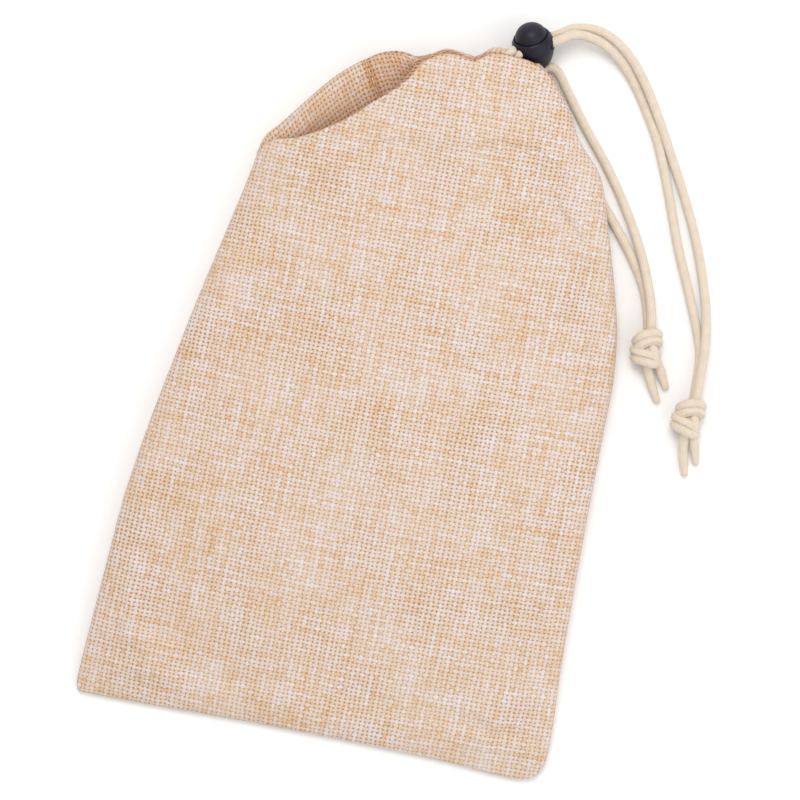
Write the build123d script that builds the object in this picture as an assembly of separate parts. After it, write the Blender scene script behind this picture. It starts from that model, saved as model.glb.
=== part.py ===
from build123d import *
import math
import os

# Drawstring gift pouch, lying flat. Millimetres: +X to its right, +Y towards the mouth, +Z up.
# The origin is on its flat underside.

# --- the bag -------------------------------------------------------------------------------------
CLOTH = 0.9  # thickness of one layer of cloth as modelled
SPLIT_GAP = 0.06  # between the front panel and the back panel along the side seams
BODY_END = 88.4  # where the panels meet the drawcord casing
PANEL_STATIONS = [  # y, left edge, right edge, seam height, top, underside, squareness
    (-111.0, -75.5, 75.5, 2.2, 4.0, 0.2, 2.4),
    (-100.0, -75.6, 76.4, 4.4, 8.0, -0.3, 2.2),
    (-80.0, -74.6, 75.4, 6.6, 11.8, -0.4, 2.1),
    (-40.0, -71.8, 74.2, 7.2, 15.2, -0.4, 2.1),
    (0.0, -69.2, 73.4, 7.4, 16.4, -0.4, 2.1),
    (40.0, -59.0, 69.2, 7.8, 16.8, -0.3, 2.2),
    (68.0, -51.0, 60.6, 9.4, 17.8, 0.6, 2.5),
    (BODY_END, -39.0, 49.5, 11.5, 20.0, 3.0, 3.2),
]
SECTION_STEPS = 9  # points on each half of a section
BOTTOM_WALL = 4.0  # of the hollow inside, from the bottom seam
BEYOND = 400.0  # more than the pouch's size, for cutting blocks

# --- the drawcord casing round the mouth ---------------------------------------------------------
CASING_START = 88.5
CASING_END = 109.0
CASING_EDGES = ((-39.0, 49.5), (-11.0, 33.5))  # left and right edge at its start and its end
CASING_BOTTOM = 3.0
CASING_TOP = 20.0
HEM = 0.8  # the cloth folded down inside the mouth
BACK_TUNNEL = 4.8  # height of the cord tunnel behind the mouth
FRONT_TUNNEL = 3.6  # and in front of it
TUNNEL_WIDTH = 6.6  # of the same tunnel round the mouth's two ends
END_WALL = 1.0
EXIT_A = (-1.6, 16.4)  # gap in the back fold, from x to x, where cord A comes out
EXIT_B = (93.3, 100.9)  # gap in the right end, from y to y, where cord B comes out

# --- seams and stitches --------------------------------------------------------------------------
ALLOWANCE_WIDTH = 6.0
ALLOWANCE_THICK = 1.0
ALLOWANCE_INSET = 5.4
ALLOWANCE_SPAN = (-85.0, 45.0)  # of the side strips, from y to y
BOTTOM_STRIP = (130.0, 4.0)  # length and width
BOTTOM_STRIP_Y = -101.5
BOTTOM_STRIP_Z = 4.0
BOTTOM_STITCH_Y = -102.0
BOTTOM_STITCH_END = 60.0  # the row runs this far each way from the middle
CASING_STITCH_INSET = 10.0  # of the row from the casing's ends
STITCH_PITCH = 5.0
STITCH_LENGTH = 2.4
THREAD = 0.5

# --- cords and lock ------------------------------------------------------------------------------
CORD = 3.0  # diameter
STRAND_OFFSET = 1.65  # half the distance between two strands side by side
LOCK_CENTRE = Vector(27.0, 116.9, 7.0)
LOCK_RADIUS = 6.8
LOCK_HEADING = 24.8  # of the cord hole, degrees from +X
LOCK_RISE = 5.0  # of the cord hole above the floor, degrees
BUTTON_TILT = 40.0  # of the button's axis above the floor, degrees
HOLE_OFFSET = 1.2  # of the cord hole from the ball's centre, towards the button
BUTTON_RADIUS = 4.7
BUTTON_CLEARANCE = 0.3
BUTTON_TRAVEL = 2.0
SLOT_CLEARANCE = 0.2  # round the strands in the button
DOME_CENTRE = 2.6  # heights along the button's axis, from the cord hole
STEM_BOTTOM = -2.6
BORE_BOTTOM = -4.8
SPRING_BOTTOM = -6.5
SPRING_WIRE = 0.5
SPRING_RADIUS = 2.7
SPRING_TURNS = 3
SPRING_POCKET = 3.5  # radius
SPRING_GAP = 0.05  # above and below the spring
END_GAP = 0.3  # between a strand and the cord inside the casing that it continues

KNOT_A = Vector(98.5, 10.7, 4.3)
KNOT_B = Vector(81.2, 29.7, 4.3)
KNOT_RADII = (5.9, 6.5, 4.2)


def azimuth_vector(heading, rise):
    """A unit vector from two angles in degrees."""
    flat = math.cos(math.radians(rise))
    turn = math.radians(heading)
    return Vector(math.cos(turn) * flat, math.sin(turn) * flat, math.sin(math.radians(rise)))


HOLE_AXIS = azimuth_vector(LOCK_HEADING, LOCK_RISE)
SIDE = azimuth_vector(LOCK_HEADING + 90.0, 0.0)
ACROSS = HOLE_AXIS.cross(SIDE)
BUTTON_AXIS = SIDE * math.cos(math.radians(BUTTON_TILT)) + ACROSS * math.sin(math.radians(BUTTON_TILT))
BESIDE = HOLE_AXIS.cross(BUTTON_AXIS)
HOLE = LOCK_CENTRE + BUTTON_AXIS * HOLE_OFFSET


# --- bag sections --------------------------------------------------------------------------------
def half_section(y, left, right, seam, rise, power):
    """One half of a lens-like section, above the seam for a positive rise and below it for a negative one."""
    middle = (left + right) / 2
    reach = (right - left) / 2
    points = []
    for step in range(SECTION_STEPS):
        turn = math.pi * step / (SECTION_STEPS - 1)
        across = math.copysign(abs(math.cos(turn)) ** (2 / power), math.cos(turn))
        points.append((middle + reach * across, y, seam + rise * math.sin(turn) ** (2 / power)))
    return Spline(points)


def panel_loft(inset, above):
    """The space between the seam plane and one side of the bag, shrunk by inset."""
    faces = []
    for number, (y, left, right, seam, top, underside, power) in enumerate(PANEL_STATIONS):
        if inset and number == 0:
            y += BOTTOM_WALL
        if inset and number == len(PANEL_STATIONS) - 1:
            y += inset
        reach = top - seam if above else underside - seam
        rise = reach - math.copysign(min(inset, abs(reach) * 0.6), reach)
        curve = half_section(y, left + 2 * inset, right - 2 * inset, seam, rise, power)
        past_seam = Vector(0, 0, -math.copysign(inset, reach))
        if inset:
            chord = Polyline(curve @ 1, curve @ 1 + past_seam, curve @ 0 + past_seam, curve @ 0)
        else:
            chord = Line(curve @ 1, curve @ 0)
        faces.append(make_face(Wire([curve, *chord.edges()])))
    return loft(faces)


def front_panel():
    return panel_loft(0.0, True) - panel_loft(CLOTH, True)


def back_panel():
    shell = panel_loft(0.0, False) - panel_loft(CLOTH, False)
    floor_cut = Pos(0, 0, -BEYOND / 2) * Box(BEYOND, BEYOND, BEYOND)
    return shell.moved(Location((0, 0, -SPLIT_GAP))) - floor_cut


# --- casing --------------------------------------------------------------------------------------
def casing_x(y, side):
    """Left (side 0) or right (side 1) edge of the casing at y."""
    share = (y - CASING_START) / (CASING_END - CASING_START)
    start, end = CASING_EDGES[0][side], CASING_EDGES[1][side]
    return start + (end - start) * share


def casing_section(y, inset_x, bottom, top):
    left, right = casing_x(y, 0) + inset_x, casing_x(y, 1) - inset_x
    plane = Plane(origin=((left + right) / 2, y, (bottom + top) / 2), x_dir=(1, 0, 0), z_dir=(0, -1, 0))
    return plane * RectangleRounded(right - left, top - bottom, (top - bottom) / 2 - 0.05)


def casing_loft(y0, y1, inset_x, bottom, top):
    return loft([casing_section(y0, inset_x, bottom, top), casing_section(y1, inset_x, bottom, top)])


def casing_band():
    """The double layer of cloth round the mouth, with the tunnel for the cords between its layers."""
    low, high = CASING_BOTTOM + CLOTH, CASING_TOP - CLOTH
    inner_low, inner_high = low + BACK_TUNNEL, high - FRONT_TUNNEL
    inner_x = CLOTH + TUNNEL_WIDTH
    body = casing_loft(CASING_START, CASING_END, 0.0, CASING_BOTTOM, CASING_TOP)
    tunnel = casing_loft(CASING_START + END_WALL, CASING_END - END_WALL, CLOTH, low, high)
    tunnel -= casing_loft(CASING_START - 1, CASING_END + 1, inner_x, inner_low, inner_high)
    mouth = casing_loft(CASING_START - 1, CASING_END + 1, inner_x + HEM, inner_low + HEM, inner_high - HEM)
    middle = (low + inner_low) / 2
    exit_a = Pos((EXIT_A[0] + EXIT_A[1]) / 2, CASING_END, middle) * Box(EXIT_A[1] - EXIT_A[0], 4, BACK_TUNNEL)
    exit_b = Pos(CASING_EDGES[0][1] - 6, (EXIT_B[0] + EXIT_B[1]) / 2, middle)
    exit_b *= Box(16, EXIT_B[1] - EXIT_B[0], BACK_TUNNEL)
    return body - tunnel - mouth - exit_a - exit_b


def casing_half(band, above):
    middle = (CASING_BOTTOM + CASING_TOP) / 2
    shift = (BEYOND + SPLIT_GAP) / 2
    return band & Pos(0, 0, middle + (shift if above else -shift)) * Box(BEYOND, BEYOND, BEYOND)


# --- seams and stitches --------------------------------------------------------------------------
def side_strip(side):
    """The folded edge of cloth inside a side seam, as a bent strip."""
    inward = 1 if side == 0 else -1
    stations = [s for s in PANEL_STATIONS if ALLOWANCE_SPAN[0] < s[0] < ALLOWANCE_SPAN[1]]
    outer = [(s[1 + side] + inward * ALLOWANCE_INSET, s[0]) for s in stations]
    inner = [(x + inward * ALLOWANCE_WIDTH, y) for x, y in outer]
    height = stations[0][3]
    outline = make_face(Polyline(outer + inner[::-1], close=True))
    return extrude(Pos(0, 0, height) * outline, amount=ALLOWANCE_THICK), outer, height


def side_stitches(side):
    strip, outer, height = side_strip(side)
    inward = 1 if side == 0 else -1
    pegs = []
    for (x0, y0), (x1, y1) in zip(outer, outer[1:]):
        count = int((y1 - y0) / STITCH_PITCH)
        for number in range(count):
            share = (number + 0.5) / count
            x = x0 + (x1 - x0) * share + inward * ALLOWANCE_WIDTH / 3
            place = Pos(x, y0 + (y1 - y0) * share, height + ALLOWANCE_THICK / 2)
            pegs.append(place * Box(THREAD, STITCH_LENGTH, ALLOWANCE_THICK + 2 * THREAD))
    return Compound(children=[solid for peg in pegs for solid in peg.solids()])


def bottom_strip():
    return Pos(0, BOTTOM_STRIP_Y, BOTTOM_STRIP_Z) * Box(*BOTTOM_STRIP, ALLOWANCE_THICK)


def bottom_stitches():
    count = int(2 * BOTTOM_STITCH_END / STITCH_PITCH)
    pegs = []
    for number in range(count):
        place = Pos(-BOTTOM_STITCH_END + (number + 0.5) * STITCH_PITCH, BOTTOM_STITCH_Y, BOTTOM_STRIP_Z)
        pegs.append((place * Box(STITCH_LENGTH, THREAD, ALLOWANCE_THICK + 2 * THREAD)).solid())
    return Compound(children=pegs)


def casing_stitches(above):
    """The row that closes the casing, as short raised threads on its outer face."""
    y = CASING_START + END_WALL / 2
    height = CASING_TOP + THREAD / 4 if above else CASING_BOTTOM - THREAD / 4
    left, right = casing_x(y, 0) + CASING_STITCH_INSET, casing_x(y, 1) - CASING_STITCH_INSET
    count = int((right - left) / STITCH_PITCH)
    pegs = []
    for number in range(count):
        x = left + (number + 0.5) * STITCH_PITCH
        pegs.append((Pos(x, y, height) * Box(STITCH_LENGTH, THREAD, THREAD)).solid())
    return Compound(children=pegs)


# --- lock ----------------------------------------------------------------------------------------
BUTTON_PLANE = Plane(origin=HOLE, x_dir=HOLE_AXIS, z_dir=BUTTON_AXIS)
CORD_PLANE = Plane(origin=HOLE, x_dir=BESIDE, z_dir=HOLE_AXIS)


def along_button(radius, bottom, top):
    """A round bar on the button's axis."""
    return BUTTON_PLANE * (Pos(0, 0, (bottom + top) / 2) * Cylinder(radius, top - bottom))


def lock_body():
    """The ball, with the button's bore, the spring's pocket and the flat hole for both strands."""
    ball = Pos(*LOCK_CENTRE) * Sphere(LOCK_RADIUS)
    bore = along_button(BUTTON_RADIUS + BUTTON_CLEARANCE, BORE_BOTTOM, 2 * LOCK_RADIUS)
    pocket = along_button(SPRING_POCKET, SPRING_BOTTOM, 0)
    width = 2 * STRAND_OFFSET + CORD + 4 * SLOT_CLEARANCE
    section = CORD_PLANE * SlotOverall(width, CORD + 4 * SLOT_CLEARANCE)
    slot = extrude(section, amount=2 * LOCK_RADIUS, both=True)
    return ball - bore - pocket - slot


def lock_button():
    """The domed button, with room for the strands through its stem over its whole travel."""
    stem = along_button(BUTTON_RADIUS, STEM_BOTTOM, DOME_CENTRE)
    dome = BUTTON_PLANE * (Pos(0, 0, DOME_CENTRE) * Sphere(BUTTON_RADIUS))
    block = 4 * BUTTON_RADIUS
    above_stem = BUTTON_PLANE * (Pos(0, 0, DOME_CENTRE + block / 2) * Box(block, block, block))
    height = CORD + 2 * SLOT_CLEARANCE + BUTTON_TRAVEL
    width = 2 * STRAND_OFFSET + CORD + 3 * SLOT_CLEARANCE
    slot = BUTTON_PLANE * (Pos(0, 0, BUTTON_TRAVEL / 2) * Box(block, width, height))
    return stem + (dome & above_stem) - slot


def lock_spring():
    height = STEM_BOTTOM - SPRING_BOTTOM - SPRING_WIRE - 2 * SPRING_GAP
    coil = Helix(pitch=height / SPRING_TURNS, height=height, radius=SPRING_RADIUS)
    section = Plane(origin=coil @ 0, z_dir=coil % 0) * Circle(SPRING_WIRE / 2)
    spring = sweep(section, path=coil, is_frenet=True)
    return BUTTON_PLANE * (Pos(0, 0, SPRING_BOTTOM + SPRING_WIRE / 2 + SPRING_GAP) * spring)


# --- cords ---------------------------------------------------------------------------------------
def corner_radii(points):
    """For each corner, the arc that 0.45 of its shorter run allows."""
    radii = []
    for before, here, after in zip(points, points[1:], points[2:]):
        turn = math.radians((here - before).get_angle(after - here))
        run = min((here - before).length, (after - here).length)
        radii.append(0.45 * run / math.tan(turn / 2))
    return radii


def cord_tube(name, points):
    points = [Vector(*point) for point in points]
    radii = corner_radii(points)
    path = FilletPolyline(*points, radius=radii)
    start = Plane(origin=path @ 0, z_dir=path % 0)
    tube = sweep(start * Circle(CORD / 2), path=path)
    expected = math.pi * (CORD / 2) ** 2 * path.length
    runs = [(b - a).length for a, b in zip(points, points[1:])]
    print(f"{name}: length {path.length:.1f} mm, volume/expected {tube.volume / expected:.4f}")
    print("   radii", [round(min(r, 999), 1) for r in radii], "runs", [round(r, 1) for r in runs])
    return tube


def through_lock(along, side):
    """A point on a strand's straight run through the lock."""
    return tuple(HOLE + HOLE_AXIS * along + BESIDE * (STRAND_OFFSET * side))


BACK_LANE = CASING_BOTTOM + CLOTH + BACK_TUNNEL / 2
FRONT_LANE = CASING_TOP - CLOTH - FRONT_TUNNEL / 2
LANE_INSET = 4.2  # of a cord from the casing's end where it goes round it
LANE_A_LEFT = 104.0
LANE_A_RIGHT = 102.4
LANE_B_LEFT = 98.0
LANE_B_RETURN = 91.3
TURN_B = 27.0
ON_FLOOR = CORD / 2 + 0.05
STRAND_A1 = [
    through_lock(0.0, 1),
    through_lock(15.6, 1),
    (48.9, 121.4, 8.4),
    (56.3, 115.8, 3.9),
    (63.4, 106.8, ON_FLOOR),
    (70.6, 94.2, ON_FLOOR),
    (77.2, 79.2, ON_FLOOR),
    (83.6, 63.6, ON_FLOOR),
    (89.2, 50.6, ON_FLOOR),
    (94.0, 37.6, ON_FLOOR),
    (96.3, 26.6, 2.2),
    (96.9, 16.0, 3.4),
]
STRAND_A2 = [
    through_lock(0.0, -1),
    through_lock(17.0, -1),
    (50.3, 125.0, 6.6),
    (58.9, 119.2, 3.6),
    (67.0, 108.8, ON_FLOOR),
    (75.7, 93.6, ON_FLOOR),
    (84.1, 77.4, ON_FLOOR),
    (90.9, 62.6, ON_FLOOR),
    (96.2, 48.4, ON_FLOOR),
    (99.3, 36.4, ON_FLOOR),
    (100.3, 25.6, 2.2),
    (100.2, 16.0, 3.4),
]
STRAND_B1 = [
    (33.0, 95.1, BACK_LANE),
    (46.8, 95.1, BACK_LANE),
    (50.8, 88.2, 2.4),
    (54.0, 80.0, ON_FLOOR),
    (59.0, 71.0, ON_FLOOR),
    (66.4, 61.2, ON_FLOOR),
    (71.8, 51.8, ON_FLOOR),
    (75.8, 42.8, 2.2),
    (78.9, 34.6, 3.4),
]
STRAND_B2 = [
    (31.0, 98.9, BACK_LANE),
    (43.6, 98.9, BACK_LANE),
    (51.2, 95.0, 2.6),
    (58.0, 86.0, ON_FLOOR),
    (65.4, 73.8, ON_FLOOR),
    (72.6, 61.6, ON_FLOOR),
    (77.8, 50.4, ON_FLOOR),
    (80.9, 42.2, 2.2),
    (82.3, 34.6, 3.4),
]
TAIL_A1 = [(97.2, 5.8, 3.2), (97.9, 2.2, 2.0), (99.5, -1.4, ON_FLOOR), (100.3, -7.4, ON_FLOOR)]
TAIL_A2 = [(100.6, 6.2, 3.2), (101.7, 3.0, 2.0), (103.9, 0.4, ON_FLOOR), (105.0, -3.1, ON_FLOOR)]
TAIL_B1 = [(81.0, 24.6, 3.2), (82.2, 21.0, 2.0), (84.6, 17.8, ON_FLOOR), (86.9, 13.7, ON_FLOOR)]
TAIL_B2 = [(84.2, 26.0, 3.2), (86.0, 23.2, 2.0), (88.3, 21.2, ON_FLOOR), (90.4, 18.3, ON_FLOOR)]


def casing_run_a():
    """Cord A from the lock, through the gap in the back fold and once round the mouth, back to the lock."""
    left = casing_x(LANE_A_LEFT, 0) + LANE_INSET
    right = casing_x(LANE_A_RIGHT, 1) - LANE_INSET
    return [
        through_lock(-END_GAP, -1),
        through_lock(-11.0, -1),
        (3.6, 108.3, 6.1),
        (-3.8, 104.7, BACK_LANE),
        (left, LANE_A_LEFT, BACK_LANE),
        (left, LANE_A_LEFT, FRONT_LANE),
        (right, LANE_A_RIGHT, FRONT_LANE),
        (right, LANE_A_RIGHT, BACK_LANE),
        (8.6, LANE_A_RIGHT + 0.1, BACK_LANE),
        (8.9, 107.8, 6.6),
        through_lock(-11.0, 1),
        through_lock(-END_GAP, 1),
    ]


def casing_run_b():
    """Cord B once round the mouth, with both ends at the gap in the casing's right end."""
    left = casing_x(LANE_B_LEFT, 0) + LANE_INSET
    right = casing_x(LANE_B_RETURN, 1) - LANE_INSET
    return [
        (STRAND_B2[0][0] - END_GAP, STRAND_B2[0][1], BACK_LANE),
        (5.0, STRAND_B2[0][1], BACK_LANE),
        (left, LANE_B_LEFT, BACK_LANE),
        (left, LANE_B_LEFT, FRONT_LANE),
        (right, LANE_B_RETURN, FRONT_LANE),
        (right, LANE_B_RETURN, BACK_LANE),
        (TURN_B, LANE_B_RETURN, BACK_LANE),
        (TURN_B, STRAND_B1[0][1], BACK_LANE),
        (STRAND_B1[0][0] - END_GAP, STRAND_B1[0][1], BACK_LANE),
    ]


def knot(centre):
    """The outer shape of an overhand knot tied in both strands."""
    return Pos(*centre) * scale(Sphere(1), by=KNOT_RADII)


def main():
    os.makedirs("parts", exist_ok=True)
    band = casing_band()
    nodes = {
        "front_panel": front_panel(),
        "back_panel": back_panel(),
        "front_casing": casing_half(band, True),
        "back_casing": casing_half(band, False),
        "left_seam_allowance": side_strip(0)[0],
        "right_seam_allowance": side_strip(1)[0],
        "bottom_seam_allowance": bottom_strip(),
        "left_seam_stitches": side_stitches(0),
        "right_seam_stitches": side_stitches(1),
        "bottom_seam_stitches": bottom_stitches(),
        "front_casing_stitches": casing_stitches(True),
        "back_casing_stitches": casing_stitches(False),
        "lock_body": lock_body(),
        "lock_button": lock_button(),
        "lock_spring": lock_spring(),
        "cord_a_knot": knot(KNOT_A),
        "cord_b_knot": knot(KNOT_B),
    }
    tubes = {
        "cord_a_strand_1": STRAND_A1,
        "cord_a_strand_2": STRAND_A2,
        "cord_b_strand_1": STRAND_B1,
        "cord_b_strand_2": STRAND_B2,
        "cord_a_tail_1": TAIL_A1,
        "cord_a_tail_2": TAIL_A2,
        "cord_b_tail_1": TAIL_B1,
        "cord_b_tail_2": TAIL_B2,
        "cord_a_casing_run": casing_run_a(),
        "cord_b_casing_run": casing_run_b(),
    }
    for name, points in tubes.items():
        nodes[name] = cord_tube(name, points)
    for name, shape in nodes.items():
        export_step(shape, f"parts/{name}.step")


main()
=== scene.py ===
import math

import bmesh
import bpy
import numpy as np
from mathutils import Matrix, Vector


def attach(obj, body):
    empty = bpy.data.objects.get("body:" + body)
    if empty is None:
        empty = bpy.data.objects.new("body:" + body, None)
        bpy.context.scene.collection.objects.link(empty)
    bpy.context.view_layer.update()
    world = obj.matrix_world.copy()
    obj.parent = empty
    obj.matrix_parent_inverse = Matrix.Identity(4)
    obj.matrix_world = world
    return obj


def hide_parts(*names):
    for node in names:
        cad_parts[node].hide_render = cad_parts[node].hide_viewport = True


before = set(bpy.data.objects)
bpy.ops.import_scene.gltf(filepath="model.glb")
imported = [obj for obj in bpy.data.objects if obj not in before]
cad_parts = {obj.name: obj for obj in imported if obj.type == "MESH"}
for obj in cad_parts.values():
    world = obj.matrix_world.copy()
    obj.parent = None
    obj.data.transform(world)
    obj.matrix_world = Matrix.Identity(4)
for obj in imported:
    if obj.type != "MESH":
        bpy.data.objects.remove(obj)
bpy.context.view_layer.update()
MM = 0.001


# --- camera and light ----------------------------------------------------------------------------
POUCH_ROLL = 11.48  # degrees that the pouch leans over in the picture
VIEW_WIDTH = 0.2552  # of the picture, in metres on the pouch
VIEW_HEIGHT = 0.9  # of the camera above the pouch
VIEW_CENTRE = (0.00737, -0.0019, 0.010)
SENSOR = 36.0
SOFT_LIGHT = 0.77  # strength of the even white light from all round


def make_camera():
    camera = bpy.data.objects.new("camera", bpy.data.cameras.new("camera"))
    bpy.context.scene.collection.objects.link(camera)
    camera.data.sensor_width = SENSOR
    camera.data.lens = SENSOR * VIEW_HEIGHT / VIEW_WIDTH
    camera.data.clip_start = 0.01
    camera.location = Vector(VIEW_CENTRE) + Vector((0, 0, VIEW_HEIGHT))
    camera.rotation_euler = (0, 0, math.radians(POUCH_ROLL))
    bpy.context.scene.camera = camera


def area_light(name, place, target, size, power, colour):
    light = bpy.data.objects.new(name, bpy.data.lights.new(name, "AREA"))
    light.data.size = size
    light.data.energy = power
    light.data.color = colour
    light.location = place
    light.rotation_euler = (Vector(target) - Vector(place)).to_track_quat("-Z", "Y").to_euler()
    bpy.context.scene.collection.objects.link(light)


def make_lights():
    area_light("key", (-0.10, 0.45, 1.0), (0, 0, 0), 0.5, 4.8, (1.0, 0.985, 0.965))
    area_light("fill", (0.8, -0.3, 0.7), (0, 0, 0), 0.9, 2.2, (1.0, 0.98, 0.96))
    world = bpy.data.worlds.new("world")
    world.use_nodes = True
    world.node_tree.nodes["Background"].inputs["Color"].default_value = (1.0, 1.0, 1.0, 1)
    world.node_tree.nodes["Background"].inputs["Strength"].default_value = SOFT_LIGHT
    bpy.context.scene.world = world
    bpy.context.scene.view_settings.view_transform = "Standard"


# --- small geometry helpers ----------------------------------------------------------------------
def smooth_line(points, count):
    """count points, evenly spaced, on a Catmull-Rom curve through points."""
    points = np.array(points, float)
    padded = np.vstack([2 * points[0] - points[1], points, 2 * points[-1] - points[-2]])
    fine = []
    for index in range(1, len(padded) - 2):
        before, start, end, after = padded[index - 1:index + 3]
        for share in np.linspace(0, 1, 24, endpoint=False):
            square, cube = share ** 2, share ** 3
            fine.append(0.5 * (2 * start + (end - before) * share
                               + (2 * before - 5 * start + 4 * end - after) * square
                               + (3 * start - before - 3 * end + after) * cube))
    fine.append(points[-1])
    return resample(np.array(fine), count)


def lengths_along(line):
    steps = np.linalg.norm(np.diff(line, axis=0), axis=1)
    return np.concatenate([[0.0], np.cumsum(steps)])


def points_at(line, shares):
    """Points at those shares of the line's length."""
    along = lengths_along(line)
    return np.stack([np.interp(shares * along[-1], along, side) for side in line.T], axis=1)


def resample(line, count):
    return points_at(line, np.linspace(0, 1, count))


def stations(table, values):
    """A smooth value for each of values, through (place, value) pairs."""
    table = np.array(table, float)
    places, amounts = table[:, 0], table[:, 1]
    slopes = np.gradient(amounts, places)
    values = np.clip(values, places[0], places[-1])
    index = np.clip(np.searchsorted(places, values) - 1, 0, len(places) - 2)
    width = places[index + 1] - places[index]
    t = (values - places[index]) / width
    return ((2 * t ** 3 - 3 * t ** 2 + 1) * amounts[index] + (t ** 3 - 2 * t ** 2 + t) * width * slopes[index]
            + (-2 * t ** 3 + 3 * t ** 2) * amounts[index + 1] + (t ** 3 - t ** 2) * width * slopes[index + 1])


def smoothstep(low, high, value):
    t = np.clip((value - low) / (high - low), 0, 1)
    return t * t * (3 - 2 * t)


def make_object(name, vertices, faces, material=None, smooth=True):
    mesh = bpy.data.meshes.new(name)
    mesh.from_pydata([tuple(v) for v in vertices], [], [tuple(int(i) for i in f) for f in faces])
    mesh.validate()
    obj = bpy.data.objects.new(name, mesh)
    bpy.context.scene.collection.objects.link(obj)
    if smooth:
        mesh.shade_smooth()
    if material:
        mesh.materials.append(material)
    return obj


def set_attribute(obj, name, values):
    """A vector for each vertex, which the materials read."""
    attribute = obj.data.attributes.new(name, "FLOAT_VECTOR", "POINT")
    attribute.data.foreach_set("vector", np.asarray(values, np.float32).ravel())


def place_piece(obj, body, slot, *nodes):
    """Says which body a piece moves with and which CAD nodes it stands for. slot is not used."""
    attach(obj, body)
    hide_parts(*nodes)


def apply_modifiers(obj):
    graph = bpy.context.evaluated_depsgraph_get()
    mesh = bpy.data.meshes.new_from_object(obj.evaluated_get(graph))
    obj.modifiers.clear()
    old = obj.data
    obj.data = mesh
    bpy.data.meshes.remove(old)


# --- materials -----------------------------------------------------------------------------------
class Nodes:
    """Short calls for building a material's node tree."""

    def __init__(self, name):
        self.material = bpy.data.materials.new(name)
        self.material.use_nodes = True
        self.tree = self.material.node_tree
        self.shader = self.tree.nodes["Principled BSDF"]

    def set(self, socket, value):
        self.shader.inputs[socket].default_value = value

    def link(self, source, target):
        self.tree.links.new(source, target)

    def add(self, kind, inputs, output=0, **settings):
        node = self.tree.nodes.new(kind)
        for key, value in settings.items():
            setattr(node, key, value)
        for key, value in inputs.items():
            if isinstance(value, bpy.types.NodeSocket):
                self.link(value, node.inputs[key])
            else:
                node.inputs[key].default_value = value
        return node.outputs[output]

    def math(self, operation, first, second=0.0, third=0.0):
        return self.add("ShaderNodeMath", {0: first, 1: second, 2: third}, operation=operation)

    def times(self, first, second):
        return self.math("MULTIPLY", first, second)

    def scaled(self, value, factor, offset):
        return self.math("MULTIPLY_ADD", value, factor, offset)

    def minus(self, first, second):
        return self.math("SUBTRACT", first, second)

    def absolute(self, value):
        return self.math("ABSOLUTE", value)

    def choose(self, share, first, second):
        return self.add("ShaderNodeMix", {0: share, 2: first, 3: second})

    def vector_math(self, operation, first, second, third=(0.0, 0.0, 0.0)):
        return self.add("ShaderNodeVectorMath", {0: first, 1: second, 2: third}, operation=operation)

    def combine(self, x, y, z=0.0):
        return self.add("ShaderNodeCombineXYZ", {0: x, 1: y, 2: z})

    def noise(self, vector, scale, detail=2.0, rough=0.5):
        return self.add("ShaderNodeTexNoise", {"Vector": vector, "Scale": scale, "Detail": detail,
                                               "Roughness": rough})

    def ramp(self, value, low, high):
        return self.add("ShaderNodeMapRange", {"Value": value, "From Min": low, "From Max": high},
                        interpolation_type="SMOOTHSTEP")

    def mix(self, share, first, second, blend="MIX"):
        node = self.tree.nodes.new("ShaderNodeMix")
        node.data_type = "RGBA"
        node.blend_type = blend
        for index, value in ((0, share), (6, first), (7, second)):
            if isinstance(value, bpy.types.NodeSocket):
                self.link(value, node.inputs[index])
            else:
                node.inputs[index].default_value = value
        return node.outputs[2]

    def shaded(self, colour, shade):
        grey = self.add("ShaderNodeCombineColor", {0: shade, 1: shade, 2: shade})
        return self.mix(1.0, colour, grey, "MULTIPLY")

    def surface(self, colour, roughness, relief=None, strength=0.0, depth=0.0):
        """Links the shader's colour and roughness, and a bump, depth metres high, where there is relief."""
        self.link(colour, self.shader.inputs["Base Color"])
        self.link(roughness, self.shader.inputs["Roughness"])
        if relief is not None:
            bump = self.add("ShaderNodeBump", {"Height": relief, "Strength": strength, "Distance": depth})
            self.link(bump, self.shader.inputs["Normal"])


def srgb(red, green, blue):
    """A linear colour from 0-255 display values."""
    channels = [c / 255 for c in (red, green, blue)]
    return tuple(c / 12.92 if c <= 0.04045 else ((c + 0.055) / 1.055) ** 2.4 for c in channels) + (1.0,)


WARP_PITCH = 1.53  # millimetres between the threads that run along the pouch
WEFT_PITCH = 1.32
YARN_TONES = ((0.0, srgb(223, 215, 219)), (0.34, srgb(217, 201, 192)), (0.66, srgb(212, 183, 150)),
              (1.0, srgb(202, 153, 106)))
GAP_SHADE = srgb(150, 107, 84)
CREASE_SHADE = srgb(206, 142, 68)
YARN_WIDTH = 0.455  # half a yarn's width, in pitches
SLUB = 0.22  # how much that width varies along a yarn
YARN_ROUND = 0.8  # height of a yarn's round section
YARN_WAVE = 0.55  # how far a yarn rises and dips, in the same unit
GAP_DEPTH = 1.6  # how far the ground between the yarns lies below them, in the same unit
WANDER = 0.9  # how far the yarns stray from straight lines, in mm
YARN_SHARE = 0.62  # weight of a yarn's slow drift, and of its flecks, in its tone
PATCHES = (((0.06, 0.74, 1.0), 0.44), ((0.74, 0.06, 1.0), 0.44), ((0.05, 0.05, 1.0), 0.24))  # scales, weight
TONE_SPAN = (0.94, 1.70)  # of the sum of all those, from the palest yarn to the warmest
FLANK_SHADE = 0.42  # painted shade: how much deeper a yarn's tone gets towards its sides, so that its middle reads as a highlight
GAP_SPAN = (0.105, 0.215)  # where the dark spot at a crossing starts, and where it is full
GAP_COVER = (0.72, 0.95)  # how much of GAP_SHADE shows in it, and the most that it reaches where painted shade adds to it
SHADE_TONE, SHADE_GAP, SHADE_COVER, SHADE_TINT = 0.22, 0.06, 0.20, 0.34  # what the painted shade adds to each: a deeper tone, wider gaps, more gap shade, the CREASE_SHADE tint


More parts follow.
